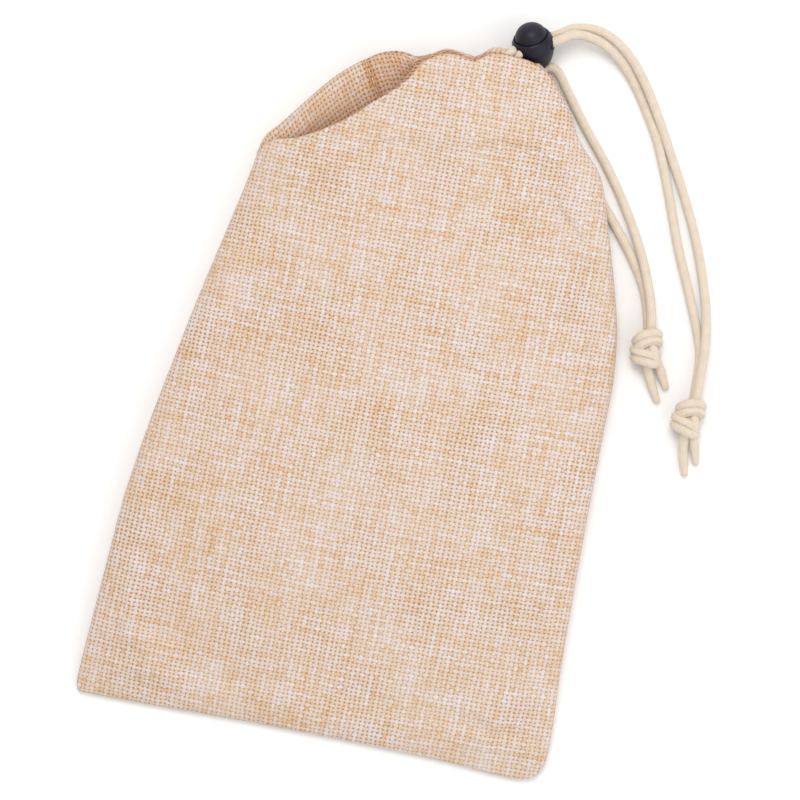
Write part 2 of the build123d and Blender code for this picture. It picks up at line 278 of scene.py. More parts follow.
def yarn_height(n, across, along, sign, identity, length):
    """How high a yarn stands at each point, and how near to its side the point is."""
    slub = n.noise(n.combine(n.times(identity, 5.13), n.times(length, 0.5), 7.0), 1.0, 1.0)
    width = n.math("DIVIDE", across, n.scaled(slub, SLUB, YARN_WIDTH - SLUB / 2))
    section = n.math("SQRT", n.math("MAXIMUM", n.minus(1.0, n.times(width, width)), 0.0))
    wave = n.times(n.math("COSINE", n.times(along, math.pi)), sign)
    missing = n.math("GREATER_THAN", n.absolute(across), YARN_WIDTH)
    height = n.scaled(wave, YARN_WAVE, n.times(section, YARN_ROUND))
    return n.scaled(missing, -GAP_DEPTH, height), n.absolute(width)


def yarn_tone(n, identity, along, offset):
    """Each yarn's own tone, which drifts along it, with short flecks."""
    drift = n.noise(n.combine(n.times(identity, 7.31), n.times(along, 0.06), offset), 1.0, 1.0)
    fleck = n.noise(n.combine(n.times(identity, 3.17), n.times(along, 0.30), offset + 9), 1.0, 2.0)
    return n.scaled(fleck, YARN_SHARE, n.times(drift, YARN_SHARE))


def yarn_colour(n, tone):
    ramp = n.tree.nodes.new("ShaderNodeValToRGB")
    n.link(tone, ramp.inputs[0])
    while len(ramp.color_ramp.elements) < len(YARN_TONES):
        ramp.color_ramp.elements.new(0.5)
    for stop, (position, colour) in zip(ramp.color_ramp.elements, YARN_TONES):
        stop.position, stop.color = position, colour
    return ramp.outputs[0]


def weave_material(name, tint=(1.0, 1.0, 1.0)):
    """A plain weave of heathered yarn.

    The attribute cloth holds each point's place on the flat cloth in mm, and how much painted shade it gets,
    which draws it darker and warmer.
    """
    n = Nodes(name)
    cloth = n.add("ShaderNodeAttribute", {}, output="Vector", attribute_name="cloth")
    # painted shade: the third value of cloth, high in hollows, creases and under the rim
    painted_shade = n.add("ShaderNodeSeparateXYZ", {0: cloth}, output="Z")
    flat = n.vector_math("MULTIPLY", cloth, (1.0, 1.0, 0.0))
    stray = n.add("ShaderNodeTexNoise", {"Vector": flat, "Scale": 0.30, "Detail": 1.0}, output="Color")
    stray = n.vector_math("SUBTRACT", stray, (0.5, 0.5, 0.5))
    bent = n.vector_math("MULTIPLY_ADD", stray, (WANDER, WANDER, 0.0), flat)
    place = n.add("ShaderNodeSeparateXYZ", {0: bent}, output="X")
    warp = n.math("DIVIDE", place, WARP_PITCH)
    weft = n.math("DIVIDE", place.node.outputs["Y"], WEFT_PITCH)
    warp_id, weft_id = n.math("FLOOR", warp), n.math("FLOOR", weft)
    across_warp = n.minus(n.math("FRACT", warp), 0.5)
    across_weft = n.minus(n.math("FRACT", weft), 0.5)
    odd = n.math("GREATER_THAN", n.math("PINGPONG", n.math("ADD", warp_id, weft_id), 1.0), 0.5)
    side = n.scaled(odd, -2.0, 1.0)  # 1 where the warp is on top, -1 where the weft is
    other_side = n.times(side, -1.0)
    warp_high, warp_flank = yarn_height(n, across_warp, across_weft, side, warp_id, weft)
    weft_high, weft_flank = yarn_height(n, across_weft, across_warp, other_side, weft_id, warp)
    height = n.math("MAXIMUM", warp_high, weft_high)
    warp_on_top = n.math("GREATER_THAN", warp_high, weft_high)

    tone = n.choose(warp_on_top, yarn_tone(n, weft_id, warp, 40.0), yarn_tone(n, warp_id, weft, 0.0))
    for scales, weight in PATCHES:
        patch = n.noise(n.vector_math("MULTIPLY", flat, scales), 1.0, 2.0)
        tone = n.scaled(patch, weight, tone)
    tone = n.add("ShaderNodeMapRange", {"Value": tone, "From Min": TONE_SPAN[0], "From Max": TONE_SPAN[1]})
    # painted shade on the yarns' sides
    tone = n.scaled(n.ramp(n.choose(warp_on_top, weft_flank, warp_flank), 0.25, 0.95), FLANK_SHADE, tone)
    tone = n.scaled(painted_shade, SHADE_TONE, tone)
    fibres = n.noise(flat, 6.0, 3.0, 0.7)
    shade = n.scaled(n.ramp(height, -0.1, 1.0), 0.14, 0.86)
    shade = n.scaled(n.minus(fibres, 0.5), 0.20, shade)
    body = n.shaded(yarn_colour(n, tone), shade)

    corner = n.times(n.absolute(across_warp), n.absolute(across_weft))
    looseness = n.scaled(painted_shade, SHADE_GAP, n.scaled(n.noise(flat, 0.04, 1.0), 0.16, -0.085))
    gap = n.math("ADD", n.math("ADD", corner, looseness), n.scaled(fibres, 0.10, -0.05))
    cover = n.math("MINIMUM", n.scaled(painted_shade, SHADE_COVER, GAP_COVER[0]), GAP_COVER[1])
    colour = n.mix(n.times(n.ramp(gap, *GAP_SPAN), cover), body, GAP_SHADE)
    # painted shade, tinted towards CREASE_SHADE
    painted_shading = n.mix(n.times(painted_shade, SHADE_TINT), (1.0, 1.0, 1.0, 1.0), CREASE_SHADE)
    colour = n.mix(1.0, colour, painted_shading, "MULTIPLY")
    colour = n.mix(1.0, colour, tint + (1.0,), "MULTIPLY")
    n.set("Sheen Weight", 0.15)
    n.set("Sheen Roughness", 0.5)
    n.set("Specular IOR Level", 0.2)
    relief = n.scaled(fibres, 0.35, n.math("MAXIMUM", height, -0.3))
    n.surface(colour, n.scaled(fibres, 0.25, 0.62), relief, 0.5, 0.00028)
    return n.material


CORD_RIBS = 12.0  # rows of stitches round a cord, which lean one way and the other by turns
STITCH_SLANT = 1.3  # how far a stitch leans over, in stitches
STITCHES_PER_MM = 0.95


def cord_material(name):
    """Soft knitted cord. The attribute cord holds the turns round it and the length along it, in mm."""
    n = Nodes(name)
    place = n.add("ShaderNodeAttribute", {}, output="Vector", attribute_name="cord")
    turns = n.add("ShaderNodeSeparateXYZ", {0: place}, output="X")
    along = turns.node.outputs["Y"]
    rib = n.math("PINGPONG", n.times(turns, CORD_RIBS), 1.0)
    stitch = n.math("FRACT", n.scaled(rib, STITCH_SLANT, n.times(along, STITCHES_PER_MM)))
    valley = n.math("POWER", n.minus(1.0, n.absolute(n.minus(rib, 0.5))), 2.0)
    loop = n.times(n.math("SINE", n.times(stitch, math.pi)), valley)
    fibres = n.noise(n.combine(n.times(turns, 16.0), n.times(along, 1.6)), 1.0, 4.0, 0.75)
    blotch = n.noise(n.combine(n.times(turns, 3.0), n.times(along, 0.35), 5.0), 1.0, 2.0)
    tone = n.scaled(fibres, 0.65, n.times(blotch, 0.5))
    colour = n.mix(n.ramp(tone, 0.35, 0.85), srgb(226, 209, 187), srgb(241, 226, 208))
    n.set("Sheen Weight", 0.35)
    n.set("Sheen Roughness", 0.6)
    n.set("Specular IOR Level", 0.2)
    # painted shade: the colour darkens between the knit's loops, with the same pattern as the bump
    n.surface(n.shaded(colour, n.scaled(loop, 0.24, 0.83)), n.scaled(fibres, 0.2, 0.7),
              n.scaled(fibres, 0.5, loop), 0.5, 0.0003)
    return n.material


def object_point(n):
    return n.add("ShaderNodeTexCoord", {}, output="Object")


def plastic_material(name):
    """Satin black moulded plastic with a fine spark-eroded grain and faint wear."""
    n = Nodes(name)
    point = object_point(n)
    grain = n.noise(point, 2600.0, 3.0, 0.6)
    cloud = n.noise(point, 160.0, 3.0, 0.6)
    colour = n.mix(n.ramp(cloud, 0.3, 0.8), srgb(15, 10, 21), srgb(27, 24, 47))
    n.set("Specular IOR Level", 0.36)
    n.surface(colour, n.scaled(cloud, 0.16, n.scaled(grain, 0.10, 0.34)), grain, 0.25, 0.00004)
    return n.material


def steel_material(name):
    n = Nodes(name)
    drawn = n.noise(object_point(n), 3000.0, 2.0)
    n.set("Metallic", 1.0)
    n.surface(n.mix(drawn, srgb(150, 150, 154), srgb(200, 200, 205)), n.scaled(drawn, 0.2, 0.25))
    return n.material


def thread_material(name):
    """Twisted sewing thread."""
    n = Nodes(name)
    twist = n.add("ShaderNodeTexWave", {"Vector": object_point(n), "Scale": 900.0, "Distortion": 2.0},
                  output="Fac", bands_direction="DIAGONAL")
    colour = n.mix(twist, srgb(196, 158, 116), srgb(232, 210, 182))
    n.set("Sheen Weight", 0.2)
    n.surface(colour, n.scaled(twist, 0.2, 0.6), twist, 0.4, 0.0001)
    return n.material


def floor_material(name):
    n = Nodes(name)
    cloud = n.noise(object_point(n), 6.0, 3.0)
    n.set("Specular IOR Level", 0.1)
    n.surface(n.mix(cloud, srgb(246, 246, 246), srgb(250, 250, 250)), n.scaled(cloud, 0.1, 0.8))
    return n.material


# --- cords ---------------------------------------------------------------------------------------
CORD = 3.0  # thickness of a cord
STRAND_OFFSET = 1.65  # of each strand from the middle of the lock's cross hole
LOCK_CENTRE = Vector((27.0, 116.9, 7.0))
LOCK_HEADING = 24.8  # of the cross hole, in degrees
LOCK_RISE = 5.0
BUTTON_TILT = 40.0  # of the button above the ground
HOLE_OFFSET = 1.2  # of the cross hole from the lock's centre, towards the button


def azimuth_vector(heading, rise):
    flat = math.cos(math.radians(rise))
    turn = math.radians(heading)
    return Vector((math.cos(turn) * flat, math.sin(turn) * flat, math.sin(math.radians(rise))))


HOLE_AXIS = azimuth_vector(LOCK_HEADING, LOCK_RISE)
SIDE = azimuth_vector(LOCK_HEADING + 90.0, 0.0)
ACROSS = HOLE_AXIS.cross(SIDE)
BUTTON_AXIS = SIDE * math.cos(math.radians(BUTTON_TILT)) + ACROSS * math.sin(math.radians(BUTTON_TILT))
BESIDE = HOLE_AXIS.cross(BUTTON_AXIS)
HOLE = LOCK_CENTRE + BUTTON_AXIS * HOLE_OFFSET


def through_lock(along, side):
    return tuple(HOLE + HOLE_AXIS * along + BESIDE * (STRAND_OFFSET * side))


ON_FLOOR = CORD / 2 + 0.05
STRAND_A1 = [
    through_lock(0.0, 1), through_lock(7.5, 1), (38.4, 124.0, 8.6), (46.8, 123.2, 6.2),
    (54.8, 118.6, 3.0), (61.6, 111.0, ON_FLOOR), (67.0, 102.8, ON_FLOOR), (71.6, 95.4, ON_FLOOR),
    (78.0, 80.6, ON_FLOOR), (84.6, 63.2, ON_FLOOR), (90.0, 52.0, ON_FLOOR), (96.2, 38.0, ON_FLOOR),
    (99.2, 29.6, 2.0), (99.0, 14.0, 2.6),
]
STRAND_A2 = [
    through_lock(0.0, -1), through_lock(8.0, -1), (39.0, 126.2, 6.0), (48.2, 126.4, 4.4),
    (57.2, 120.9, 3.2), (64.0, 112.8, 3.6), (69.6, 104.0, 3.2), (75.4, 94.0, ON_FLOOR),
    (84.7, 77.6, ON_FLOOR), (91.2, 63.8, ON_FLOOR), (96.4, 49.4, ON_FLOOR), (98.8, 39.4, 3.2),
    (99.8, 29.8, 4.9), (100.0, 14.0, 5.2),
]
STRAND_B1 = [
    (27.0, 102.6, 8.4), (35.2, 99.4, 3.0), (42.6, 92.0, ON_FLOOR), (48.6, 84.2, ON_FLOOR),
    (54.4, 76.6, ON_FLOOR), (60.6, 69.8, ON_FLOOR), (66.0, 63.4, ON_FLOOR), (71.0, 57.2, ON_FLOOR),
    (75.6, 50.4, ON_FLOOR), (79.0, 43.0, ON_FLOOR), (81.0, 33.4, 2.2),
]
STRAND_B2 = [
    (25.6, 104.8, 9.0), (29.6, 110.4, 2.9), (34.8, 112.6, 2.3), (40.0, 105.4, 2.0),
    (48.9, 94.0, ON_FLOOR), (57.0, 84.8, ON_FLOOR), (65.4, 73.2, ON_FLOOR), (73.2, 60.2, 2.2),
    (77.8, 49.6, 4.6), (80.6, 41.6, 4.8), (81.9, 33.4, 5.0),
]


def as_seen(points):
    """Moves points in plan so that, at their own height, they still cover what the camera sees there."""
    centre = np.array(VIEW_CENTRE) / MM
    height = VIEW_HEIGHT / MM
    scale = (height + centre[2] - points[..., 2:3]) / height
    moved = points.copy()
    moved[..., :2] = centre[:2] + (points[..., :2] - centre[:2]) * scale
    return moved


def nurbs_line(points):
    """The smooth line of a route in mm: a quadratic NURBS curve with the route's points as control points."""
    data = bpy.data.curves.new("route", "CURVE")
    data.dimensions = "3D"
    data.resolution_u = 24
    spline = data.splines.new("NURBS")
    spline.points.add(len(points) - 1)
    for point, place in zip(spline.points, points):
        point.co = (*place, 1.0)
    spline.order_u = 3
    spline.use_endpoint_u = True
    route = bpy.data.objects.new("route", data)
    bpy.context.scene.collection.objects.link(route)
    graph = bpy.context.evaluated_depsgraph_get()
    mesh = bpy.data.meshes.new_from_object(route.evaluated_get(graph))
    line = np.array([v.co[:] for v in mesh.vertices])
    bpy.data.objects.remove(route)
    bpy.data.meshes.remove(mesh)
    return line


def frames_along(line):
    """Unit tangents and two normals for each point, without twist."""
    tangents = np.gradient(line, axis=0)
    tangents /= np.linalg.norm(tangents, axis=1)[:, None]
    normal = np.cross(tangents[0], (0, 0, 1.0))
    normals = []
    for tangent in tangents:
        normal = normal - tangent * np.dot(normal, tangent)
        normal = normal / np.linalg.norm(normal)
        normals.append(normal)
    normals = np.array(normals)
    return tangents, normals, np.cross(normals, tangents)


RING = 20  # points round a cord
TAPER_LENGTH = 6.0
CAP_STEPS = (0.0, 0.45, 0.75, 0.92)  # shares of the way from a rounded end's tip to the straight cord
CAP_LENGTH = 0.35  # of a rounded end, in heights of the cord
STRAND_POINTS = 160
TAIL_POINTS = 32
KNOT_POINTS = 150
RUN_POINTS = 130
STRAND_HEIGHT = 0.94  # of a cord that lies flattened, against its width
TAIL_HEIGHT = 0.92
TAIL_TAPER = 0.22


def ring_faces(rings, steps):
    """Quads between neighbouring rings of steps points each."""
    faces = []
    for ring in range(rings - 1):
        for step in range(steps):
            a, b = ring * steps + step, ring * steps + (step + 1) % steps
            faces.append((a, b, b + steps, a + steps))
    return faces


def tube_arrays(line, width, height, end_taper=0.0, round_ends=True):
    """Vertices, faces and the cord attribute of a tube round line. All in mm."""
    tangents, normals, uppers = frames_along(line)
    along = lengths_along(line)
    caps = [(math.sqrt(1 - (1 - cap) ** 2) * 0.999 + 0.001, (1 - cap) * height * CAP_LENGTH)
            for cap in CAP_STEPS if round_ends]
    shrink = 1 - end_taper * smoothstep(TAPER_LENGTH, 0, along[-1] - along)
    rows = [(0, scale, -push) for scale, push in caps]
    rows += [(index, shrink[index], 0.0) for index in range(len(line))]
    rows += [(len(line) - 1, scale * shrink[-1], push) for scale, push in reversed(caps)]
    vertices, places = [], []
    for index, scale, push in rows:
        centre = line[index] + tangents[index] * push
        for turn in np.arange(RING) / RING:
            angle = turn * 2 * math.pi
            beside, over = normals[index] * math.cos(angle), uppers[index] * math.sin(angle)
            vertices.append(centre + (beside * width / 2 + over * height / 2) * scale)
            places.append((turn, along[index] + push, 0.0))
    last = (len(rows) - 1) * RING
    ends = [tuple(range(RING))[::-1], tuple(range(last, last + RING))]
    return vertices, ring_faces(len(rows), RING) + ends, places


def make_tube(name, lines, material, width, height, **options):
    """One object of one or more tubes."""
    vertices, faces, places = [], [], []
    for line in lines:
        some, quads, spots = tube_arrays(line, width, height, **options)
        faces += [tuple(len(vertices) + i for i in quad) for quad in quads]
        vertices += some
        places += spots
    obj = make_object(name, np.array(vertices) * MM, faces, material)
    set_attribute(obj, "cord", places)
    return obj


def make_strand(name, route, body, material):
    line = as_seen(resample(nurbs_line(route), STRAND_POINTS))
    obj = make_tube(name + "_knit", [line], material, CORD, CORD * STRAND_HEIGHT)
    place_piece(obj, body, "cord", name)


# The knot's wraps, two strands wide, about the knot's centre. +Y is where the strands come in.
WRAP_PATH = [
    (1.4, -1.6, -0.6), (3.2, -3.4, -1.4), (3.6, -4.0, 0.6), (2.0, -4.1, 2.2), (-0.6, -3.1, 2.9),
    (-3.2, -2.2, 2.3), (-4.8, -1.5, 0.3), (-3.4, -0.6, -2.2), (0.0, 0.8, -2.8), (3.2, 2.2, -2.2),
    (4.7, 3.4, 0.3), (3.6, 4.4, 2.3), (0.9, 4.2, 3.1), (-2.0, 3.0, 2.8), (-3.9, 1.4, 0.6),
    (-3.0, 1.6, -2.0), (0.2, 3.0, -1.8),
]
KNOT_SCALE = 0.9
KNOT_CORD = 2.95  # thickness of the cord where it is pulled tight
KNOT_SPREAD = 1.24  # half the distance between the two strands of a wrap
KNOT_MERGE = 12  # points at each end of a wrap over which the two strands come together


def knot_lines(centre, heading):
    """The two strands of the wraps, side by side on the knot's outside, in mm."""
    line = resample(nurbs_line(WRAP_PATH), KNOT_POINTS) * KNOT_SCALE
    tangents = np.gradient(line, axis=0)
    outward = line * (1.0, 0.0, 1.0)
    beside = np.cross(tangents, outward)
    beside /= np.linalg.norm(beside, axis=1)[:, None]
    steps = np.arange(len(line))
    ends = np.clip(np.minimum(steps, steps[::-1]) / KNOT_MERGE, 0, 1)
    turn = Matrix.Rotation(math.radians(heading), 3, "Z")
    lines = []
    for side in (-1, 1):
        shifted = line + beside * (side * KNOT_SPREAD * ends)[:, None]
        placed = as_seen(np.array([turn @ Vector(point) for point in shifted]) + np.array(centre))
        placed[:, 2] = np.maximum(placed[:, 2], KNOT_CORD / 2 + 0.02)
        lines.append(placed)
    return lines


def make_knot(name, centre, body, material):
    obj = make_tube(name + "_wraps", knot_lines(centre, KNOT_HEADING[centre]), material, KNOT_CORD, KNOT_CORD)
    place_piece(obj, body, "cord", name)
    return obj


def make_tail(name, knot, inside, outside, body, material):
    turn = Matrix.Rotation(math.radians(KNOT_HEADING[knot]), 3, "Z")
    route = [tuple(turn @ Vector(point) * KNOT_SCALE + Vector(knot)) for point in inside] + outside
    line = as_seen(resample(nurbs_line(route), TAIL_POINTS))
    obj = make_tube(name + "_knit", [line], material, CORD, CORD * TAIL_HEIGHT, end_taper=TAIL_TAPER)
    place_piece(obj, body, "cord", name)
    return obj


KNOT_A = (98.5, 10.7, 4.3)
KNOT_B = (81.2, 29.7, 4.3)
KNOT_HEADING = {KNOT_A: 2.0, KNOT_B: 14.0}
# Each tail's way, about its knot's centre: out of the middle of the knot, over its lowest wrap.
TAIL_1 = [(-0.4, 0.6, 0.6), (0.2, -1.8, 1.7), (-0.2, -4.8, 1.2)]
TAIL_2 = [(1.6, 2.0, 0.8), (2.6, -0.6, 2.3), (3.0, -3.6, 1.9)]
TAILS = {
    "cord_a_tail_1": (KNOT_A, TAIL_1, [(98.8, 1.2, 2.6), (100.0, -3.6, ON_FLOOR), (100.9, -6.9, ON_FLOOR)]),
    "cord_a_tail_2": (KNOT_A, TAIL_2, [(101.8, 3.6, 3.2), (103.0, 0.2, 1.9), (103.7, -2.6, ON_FLOOR)]),
    "cord_b_tail_1": (KNOT_B, TAIL_1, [(83.6, 21.6, 2.8), (85.8, 17.4, ON_FLOOR), (87.6, 14.3, ON_FLOOR)]),
    "cord_b_tail_2": (KNOT_B, TAIL_2, [(86.0, 25.4, 3.4), (88.0, 21.9, 2.0), (89.5, 19.0, ON_FLOOR)]),
}


def make_cords(material, front, back):
    knots = {
        "a": make_knot("cord_a_knot", KNOT_A, "drawcord_a", material),
        "b": make_knot("cord_b_knot", KNOT_B, "drawcord_b", material),
    }
    tails = {name: make_tail(name, *way, "drawcord_" + name[5], material) for name, way in TAILS.items()}
    routes = {"a": (STRAND_A1, STRAND_A2), "b": (STRAND_B1, STRAND_B2)}
    for letter, pair in routes.items():
        for number, route in enumerate(pair, 1):
            make_strand(f"cord_{letter}_strand_{number}", route, f"drawcord_{letter}", material)
    make_casing_run("cord_a_casing_run", CASING_RUN_A, material, front, back)
    make_casing_run("cord_b_casing_run", CASING_RUN_B, material, front, back)


# Hidden inside the casing: from the lock or the exit once round the mouth.
CASING_RUN_A = [
    through_lock(-0.3, -1), through_lock(-5.0, -1), (18.6, 111.0, 8.2), (8.0, 104.8, 8.6),
    (-2.0, 101.0, 9.2), (-4.0, 98.5, 11.4), (3.0, 98.6, 13.4), (20.0, 103.2, 13.4), (31.5, 103.4, 12.4),
    (33.6, 102.0, 9.4), (28.0, 103.6, 7.6), (22.0, 108.6, 7.6), through_lock(-5.0, 1), through_lock(-0.3, 1),
]
CASING_RUN_B = [
    (25.6, 104.6, 4.8), (14.0, 99.0, 5.6), (2.0, 95.0, 7.0), (-3.0, 93.4, 10.4), (4.0, 93.0, 13.2),
    (24.0, 95.6, 13.6), (37.4, 96.2, 11.8), (39.2, 96.4, 8.8), (33.6, 97.4, 5.6), (29.6, 99.0, 4.4),
]
RUN_CORD = 2.7  # the cord's thickness where the casing squeezes it
RUN_ROOM = 2.3  # from the outside of the cloth to the middle of a cord inside it
RUN_EVENING = 7  # points over which a run's height is evened out


def sheet_heights(sheet, plan):
    """For each point of plan, the height of the sheet's nearest point and how far away in plan that is."""
    points = sheet.reshape(-1, 3)
    gaps = np.linalg.norm(plan[:, None, :] - points[None, :, :2], axis=2)
    return points[gaps.argmin(axis=1), 2], gaps.min(axis=1)


def between_sheets(line, front, back):
    """Keeps a line between the pouch's front and back, where it runs over the back."""
    under, gap = sheet_heights(back, line[:, :2])
    over, _ = sheet_heights(front[:, :COLUMNS], line[:, :2])
    least, most = under + RUN_ROOM, over - RUN_ROOM
    kept = np.clip(line[:, 2], least, np.maximum(least, most))
    moved = line.copy()
    moved[:, 2] += (kept - line[:, 2]) * (1 - smoothstep(0.8, 2.5, gap))
    padded = np.pad(moved[:, 2], RUN_EVENING // 2, mode="edge")
    even = np.convolve(padded, np.ones(RUN_EVENING) / RUN_EVENING, mode="valid")
    moved[:, 2] = np.maximum(even, np.where(gap < 1.0, least, even))
    return moved


def make_casing_run(name, route, material, front, back):
    line = between_sheets(resample(nurbs_line(route), RUN_POINTS), front, back)
    obj = make_tube(name + "_knit", [line], material, RUN_CORD, RUN_CORD)
    place_piece(obj, "pouch", "cord", name)


# --- lock ----------------------------------------------------------------------------------------
BODY_PROFILE = [(-9.2, 0.0), (-8.9, 1.5), (-8.0, 3.0), (-6.2, 4.6), (-3.8, 5.85), (-1.2, 6.6), (0.8, 6.7),
                (2.2, 6.45), (3.2, 6.0), (3.62, 5.66), (3.6, 5.44), (3.2, 5.34), (1.0, 5.32), (-2.0, 5.32)]
BUTTON_PROFILE = [(-2.4, 5.1), (0.5, 5.14), (2.4, 5.2), (3.8, 5.16), (5.2, 4.7), (6.6, 3.6), (7.5, 1.9),
                  (7.8, 0.0)]
LATHE_STEPS = 64
LATHE_RINGS = 48
COLLAR_STEPS = 48
COLLAR_WIDTH = 3.45  # half of it, across both strands
COLLAR_HEIGHT = 1.95  # half of it
COLLAR_PLACE = 5.6  # from the middle of the cross hole
COLLAR_BEND = 0.35  # how far the collar follows the lock's round side
COLLAR_THICKNESS = 1.1


def lathe(name, profile, material):
    """A turned form on the button's axis. The profile holds (height, radius) pairs in mm."""
    line = smooth_line(profile, LATHE_RINGS)
    turn = Matrix((HOLE_AXIS, BESIDE, BUTTON_AXIS)).transposed()
    vertices = []
    for height, radius in line:
        radius = max(radius, 0.001)
        for step in range(LATHE_STEPS):
            angle = 2 * math.pi * step / LATHE_STEPS
            local = Vector((math.cos(angle) * radius, math.sin(angle) * radius, height))
            vertices.append((HOLE + turn @ local) * MM)
    return make_object(name, vertices, ring_faces(len(line), LATHE_STEPS), material)


def make_lock(material):
    body = lathe("lock_barrel", BODY_PROFILE, material)
    collar_lines = []
    for side in (-1, 1):
        loop = []
        for step in range(COLLAR_STEPS + 1):
            angle = 2 * math.pi * step / COLLAR_STEPS
            flat = BESIDE * (math.cos(angle) * COLLAR_WIDTH) + BUTTON_AXIS * math.sin(angle) * COLLAR_HEIGHT
            loop.append(HOLE + HOLE_AXIS * side * (COLLAR_PLACE + COLLAR_BEND * abs(math.sin(angle))) + flat)
        collar_lines.append(np.array(loop))
    collars = make_tube("lock_collars", collar_lines, material, COLLAR_THICKNESS, COLLAR_THICKNESS,
                        round_ends=False)
    collars.parent = body
    place_piece(body, "lock", "lock_plastic", "lock_body")
    button = lathe("lock_dome", BUTTON_PROFILE, material)
    place_piece(button, "button", "lock_plastic", "lock_button")


# --- pouch outlines ------------------------------------------------------------------------------
# Outlines in mm, seen from above, from the bottom seam to the mouth's rim.
RIGHT_EDGE = [(67.0, -111.4), (73.4, -109.6), (76.2, -104.0), (76.2, -92.0), (75.0, -72.8), (73.8, -30.0),
              (73.4, 0.0), (73.2, 18.0), (71.1, 33.8), (68.7, 43.0), (64.6, 56.6), (60.8, 68.4), (57.9, 77.0),
              (55.0, 82.4), (49.8, 87.8), (46.2, 92.2), (42.6, 98.8), (39.6, 102.5), (36.4, 106.0),
              (33.6, 109.0)]
LEFT_EDGE = [(-74.6, -110.8), (-76.0, -108.8), (-76.0, -100.0), (-74.8, -78.0), (-73.3, -51.0),
             (-71.7, -37.5), (-69.2, -20.0), (-65.2, 3.0), (-62.8, 16.4), (-60.1, 30.0), (-57.3, 43.6),
             (-54.7, 57.0), (-53.2, 66.0)]
FOLD_EDGE = [(-53.2, 66.0), (-49.5, 71.2), (-41.5, 73.8), (-32.0, 79.4), (-25.0, 84.8), (-20.4, 89.4),
             (-15.6, 93.7), (-12.3, 97.5), (-9.8, 101.6), (-8.0, 104.8)]
FOLD_DEPTH = [(-53.2, 66.0), (-46.0, 66.5), (-36.0, 69.5), (-26.5, 76.0), (-17.6, 83.5), (-9.0, 89.5),
              (-2.0, 96.5)]
SHOULDER = [(-53.2, 66.0), (-51.6, 72.4), (-47.6, 77.1), (-41.4, 85.5), (-35.1, 93.6), (-30.3, 98.5),
            (-26.2, 101.9), (-21.0, 105.0), (-15.0, 106.5), (-8.9, 105.2)]
FRONT_RIM = [(-8.0, 104.8), (-5.2, 106.2), (-1.6, 107.9), (2.4, 108.2), (6.4, 107.4), (9.4, 107.0),
             (13.4, 109.7), (17.5, 110.4), (21.8, 109.9), (26.0, 109.3), (29.6, 108.1), (33.4, 106.0)]
BACK_RIM = [(-8.9, 105.2), (-6.8, 105.2), (-4.6, 107.4), (-2.0, 110.0), (2.0, 110.7), (6.6, 110.1),
            (9.2, 109.9), (13.4, 113.2), (17.5, 113.7), (21.6, 113.2), (25.8, 112.7), (29.4, 111.6),
            (33.6, 109.0)]
BOTTOM_BOW = [(-76, 2.9), (-60, 2.7), (-40, 2.1), (-20, 1.4), (0, 1.1), (20, 0.9), (45, 1.0), (60, 1.7),
              (76, 2.0)]
BOW_ROWS = 36  # over which the bottom's bow fades out
COLUMNS = 72  # of each sheet, from the right seam to the left one
UNDER_COLUMNS = 10  # hidden under the fold at the top left
RECESS_COLUMNS = 24  # of the tucked-in cloth beside that fold
BODY_ROWS = 84  # up to the shoulder
TOP_ROWS = 34  # from there to the rim
CLOTH = 0.75  # thickness
HEM_RADIUS = 0.95  # of the cloth's turn at the rim
HEM_TURNS = 6
CASING_DEPTH = 18.0  # from the rim to the stitches that close the casing
CASING_ROOM = 4.2  # between the casing's two layers, where the cords run
SEAM_TURN = 1.1  # how far a panel's edge turns in at a seam
SEAM_GROOVE = 0.3  # how far that edge lies below the panel
CORNER_ROWS = 6  # at the bottom, where a panel's edge turns in diagonally
WEFT_BOW = 0.00035  # how the weft threads bow across the pouch
UNDER_POINTS = 120  # on a strand of drawcord B, to find where it lies under the pouch
OUT_OF_CLOTH = 8  # of those points, the ones that are still inside the cloth
PULLED = (0.0, 1.5, 3.0)  # places of drawcord B that the cloth over it leaves room for
STITCH_PITCH = 3.0
STITCH_GROOVE = 0.9  # how deep the casing's stitches pull the cloth in
STITCH_BULGE = 0.28  # how far the middle of a stitch stands out from its ends
STITCH_DIP = 0.12  # how far those lie in the cloth
STITCH_POINTS = 12  # along a stitch and the gap after it
THREAD = 0.36  # thickness of the thread
RIM_POINTS = 80
EVENNESS = 0.38  # 1 spaces a row's points evenly, 0 crowds them at its ends
FOLD_PACE = 0.72  # how fast the right edge's rows pass the fold, against the rows below the shoulder


def row_shares():
    """Shares across a sheet, closer together near both of its edges."""
    even = np.linspace(0, 1, COLUMNS)
    return (1 - EVENNESS) * (0.5 - 0.5 * np.cos(even * math.pi)) + EVENNESS * even


def outlines():
    """For each row: the right edge, the left edge or fold, the fold's depth, the tucked-in cloth's edge."""
    body = smooth_line(LEFT_EDGE, BODY_ROWS)
    fold = smooth_line(FOLD_EDGE, TOP_ROWS)
    right_fine = smooth_line(RIGHT_EDGE, 600)
    body_length, fold_length = lengths_along(body)[-1], lengths_along(fold)[-1]
    split = int(len(right_fine) * body_length / (body_length + FOLD_PACE * fold_length))
    right = resample(right_fine[:split + 1], BODY_ROWS), resample(right_fine[split:], TOP_ROWS)
    depth, edge = smooth_line(FOLD_DEPTH, TOP_ROWS), smooth_line(SHOULDER, TOP_ROWS)
    return [np.vstack([low, high[1:]]) for low, high in (right, (body, fold), (body, depth), (body, edge))]


RIGHT, FOLD, DEPTH, EDGE = outlines()
ROWS = BODY_ROWS + TOP_ROWS - 1
SHARES = row_shares()


def above_shoulder(row):
    """0 at the shoulder and below it, 1 at the rim."""
    return max(0.0, (row - BODY_ROWS + 1) / (ROWS - BODY_ROWS))


